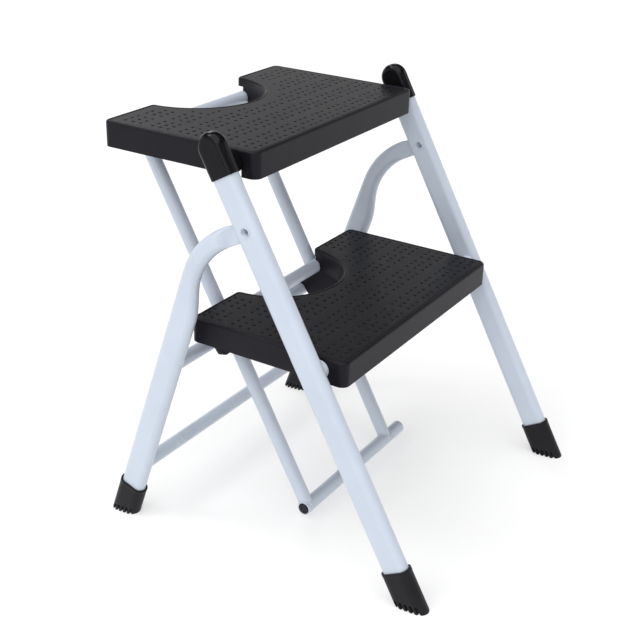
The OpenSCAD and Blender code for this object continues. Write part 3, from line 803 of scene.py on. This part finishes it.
# in metres: the flat floor's middle and edge, and the round wall that it curves up into
FLAT_RADII = (0.3, 1.8)
CURVE_START, CURVE_R, WALL_TOP = 5.5, 2, 3.4
FLOOR_STEPS, CURVE_DEGREES = 64, range(0, 91, 15)


def smooth_floor():
    """A pale floor, flat round the stool, that curves up into a far wall, in one sheet."""
    bm = bmesh.new()
    curve = [(CURVE_START + CURVE_R * math.sin(a), CURVE_R - CURVE_R * math.cos(a))
             for a in map(math.radians, CURVE_DEGREES)]
    profile = [(radius, 0.0) for radius in FLAT_RADII] + curve
    profile.append((CURVE_START + CURVE_R, WALL_TOP))
    rows = loft(bm, [circle(radius, height, FLOOR_STEPS) for radius, height in profile], False)
    bm.faces.new(rows[0])
    bmesh.ops.recalc_face_normals(bm, faces=bm.faces)
    for face in bm.faces:
        face.smooth = True
        if face.normal.z - face.normal.xy.dot(face.calc_center_median().xy) < 0:
            face.normal_flip()
    mesh = bpy.data.meshes.new("floor")
    bm.to_mesh(mesh)
    bm.free()
    floor = bpy.data.objects.new("floor", mesh)
    bpy.context.scene.collection.objects.link(floor)
    material, tree, shader, coords = new_material("floor")
    cloud = noise(tree, coords, scale=3.0, detail=3.0)
    tree.links.new(tint(tree, cloud, (0.50, 0.50, 0.50), (0.52, 0.52, 0.52)),
                   shader.inputs["Base Color"])
    shader.inputs["Roughness"].default_value = 0.7
    shader.inputs["Specular IOR Level"].default_value = 0.2
    shader.inputs["Emission Color"].default_value = (1, 1, 1, 1)
    shader.inputs["Emission Strength"].default_value = 0.47
    mesh.materials.append(material)


def lamp(name, kind, energy):
    """A light and its object in the scene."""
    light = bpy.data.lights.new(name, kind)
    light.energy = energy
    holder = bpy.data.objects.new(name, light)
    bpy.context.scene.collection.objects.link(holder)
    return light, holder


def softbox(name, place, target, size, power):
    light, holder = lamp(name, "AREA", power)
    light.shape = "RECTANGLE"
    light.size, light.size_y = size
    holder.location = place
    holder.rotation_euler = (Vector(target) - Vector(place)).to_track_quat("-Z", "Y").to_euler()


smooth_floor()
sky, sky_holder = lamp("sky", "SUN", 3.1)
sky.angle = math.radians(85)
sky_holder.rotation_euler = Vector((-0.42, -0.10, 0.90)).to_track_quat("Z", "Y").to_euler()
softbox("side", (-1.9, -0.2, 0.9), (0, 0, 0.3), (1.0, 1.2), 4.0)
softbox("rim", (1.0, 1.5, 1.9), (0, 0, 0.4), (0.5, 0.5), 6.5)
softbox("edge", (-0.9, 1.1, 2.1), (0, 0, 0.4), (0.5, 0.5), 6.5)

scene = bpy.context.scene
world = bpy.data.worlds.new("studio")
world.use_nodes = True
background = world.node_tree.nodes["Background"]
background.inputs["Color"].default_value = (0.98, 0.99, 1.0, 1)
background.inputs["Strength"].default_value = 0.03
scene.world = world
scene.view_settings.view_transform = "Standard"

# the camera that fits the straight edges in the photo, in metres, radians and millimetres
CAMERA_PLACE = (-1.044449, -0.645521, 0.745349)
AZIMUTH, ELEVATION, ROLL = math.radians(-57.145), math.radians(23.425), math.radians(-1.650)
SENSOR, FOCAL = 36.0, 65.276
back = Vector((math.sin(AZIMUTH) * math.cos(ELEVATION), -math.cos(AZIMUTH) * math.cos(ELEVATION),
               math.sin(ELEVATION)))
right = Vector((math.cos(AZIMUTH), math.sin(AZIMUTH), 0))
up = back.cross(right)
turned_right = right * math.cos(ROLL) + up * math.sin(ROLL)
turned_up = up * math.cos(ROLL) - right * math.sin(ROLL)
lens = bpy.data.cameras.new("camera")
lens.sensor_width = SENSOR
lens.lens = FOCAL
lens.clip_start = 0.05
camera = bpy.data.objects.new("camera", lens)
scene.collection.objects.link(camera)
camera.matrix_world = Matrix.Translation(CAMERA_PLACE) @ Matrix(
    (turned_right, turned_up, back)).transposed().to_4x4()
scene.camera = camera
